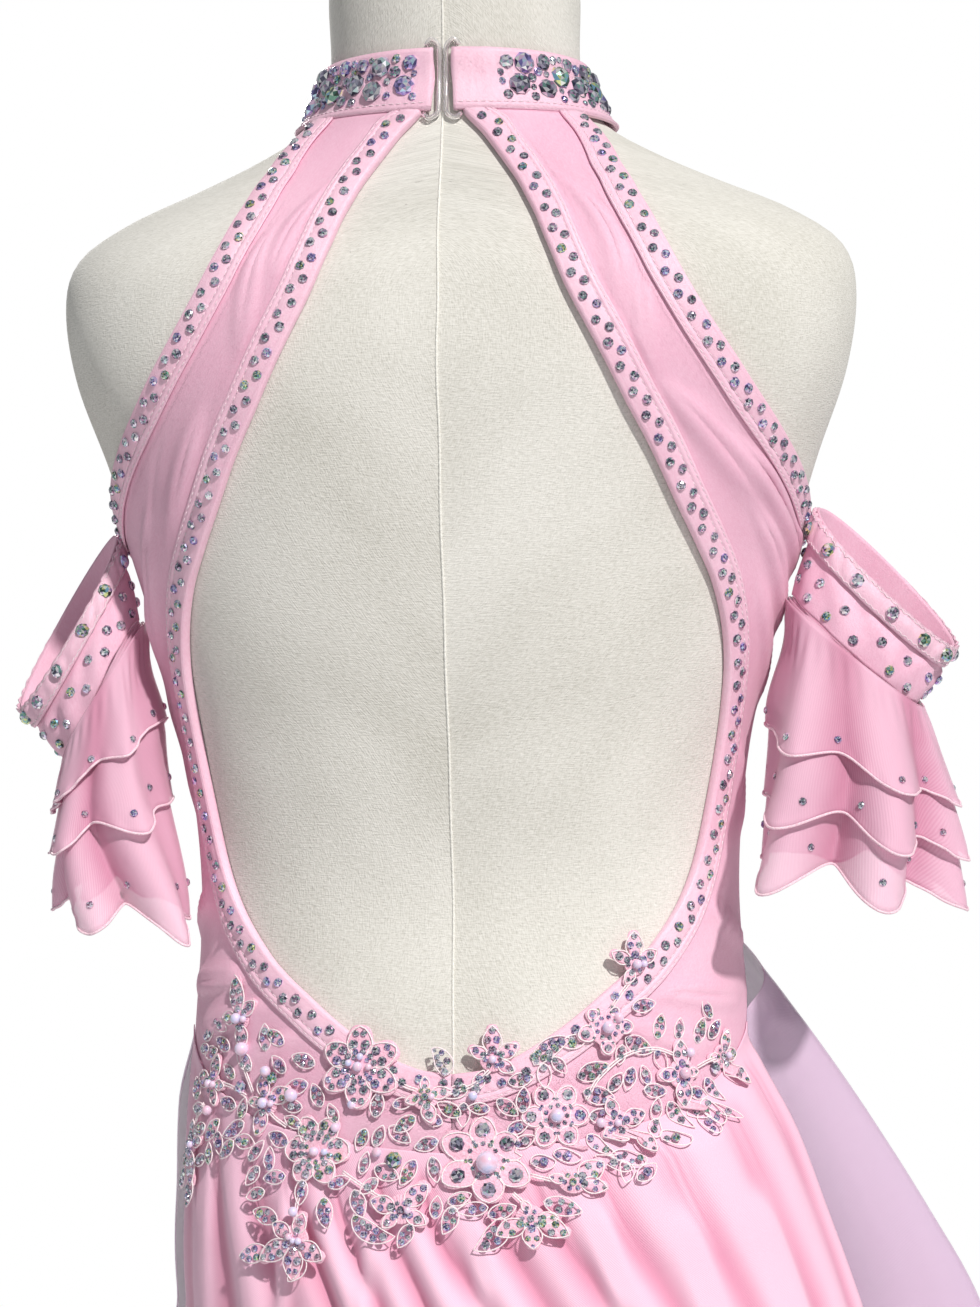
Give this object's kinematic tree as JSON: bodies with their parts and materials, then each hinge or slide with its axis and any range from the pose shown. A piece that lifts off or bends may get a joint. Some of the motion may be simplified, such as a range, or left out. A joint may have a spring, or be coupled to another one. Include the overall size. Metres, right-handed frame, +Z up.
{
  "type": "lyrical dance dress on a limbless dress form",
  "caption": "Halter dance dress with an open back, drop sleeves with flounces, a gathered mesh skirt and lace motifs, on a limbless dress form with a pole and a round base.",
  "frame": {"origin": "centre of the base's underside, on the floor", "axes": "+Z up; the back of the dress faces -Y and its front +Y; +X is the wearer's right, which is on the right as seen from behind"},
  "size_m": [0.594, 0.5201, 1.405],
  "materials": {
    "canvas": "matt off-white canvas",
    "stand_metal": "satin black powder coat",
    "stretch_satin": "pale pink stretch satin with a soft sheen",
    "soft_mesh": "pink and lilac sheer mesh",
    "lace": "corded lace with stones and pearls",
    "clear_plastic": "clear plastic"
  },
  "bodies": {
    "root": {"back_left": "stretch_satin", "back_right": "stretch_satin", "front": "stretch_satin", "binding_arm_left": "stretch_satin", "binding_arm_right": "stretch_satin", "binding_back_left": "stretch_satin", "binding_back_right": "stretch_satin", "collar": "stretch_satin", "sleeve_left": "stretch_satin", "sleeve_right": "stretch_satin", "sleeve_band_left": "stretch_satin", "sleeve_band_right": "stretch_satin", "skirt_back": "soft_mesh", "skirt_front": "soft_mesh", "flounce_left_1": "soft_mesh", "flounce_left_2": "soft_mesh", "flounce_left_3": "soft_mesh", "flounce_right_1": "soft_mesh", "flounce_right_2": "soft_mesh", "flounce_right_3": "soft_mesh", "clasp_left": "clear_plastic", "clasp_right": "clear_plastic", "dress_form_torso": "canvas", "dress_form_flange": "stand_metal", "dress_form_pole": "stand_metal", "dress_form_base": "stand_metal", "lace_flower_left_upper": "lace", "lace_flower_left_lower": "lace", "lace_flower_right_pearl": "lace", "lace_flower_right_upper": "lace", "lace_flower_right_binding": "lace", "lace_leaves_left_low": "lace", "lace_leaf_centre_low": "lace", "lace_leaves_left_middle": "lace", "lace_leaves_left_side": "lace", "lace_leaves_left_hanging": "lace", "lace_leaves_left_binding": "lace", "lace_leaves_centre": "lace", "lace_sprig_centre": "lace", "lace_leaves_right_middle": "lace", "lace_leaf_right_low": "lace", "lace_leaves_right_low": "lace", "lace_sprig_right_binding": "lace", "lace_leaves_right_side": "lace", "lace_leaves_right_end": "lace"}
  },
  "joints": []
}
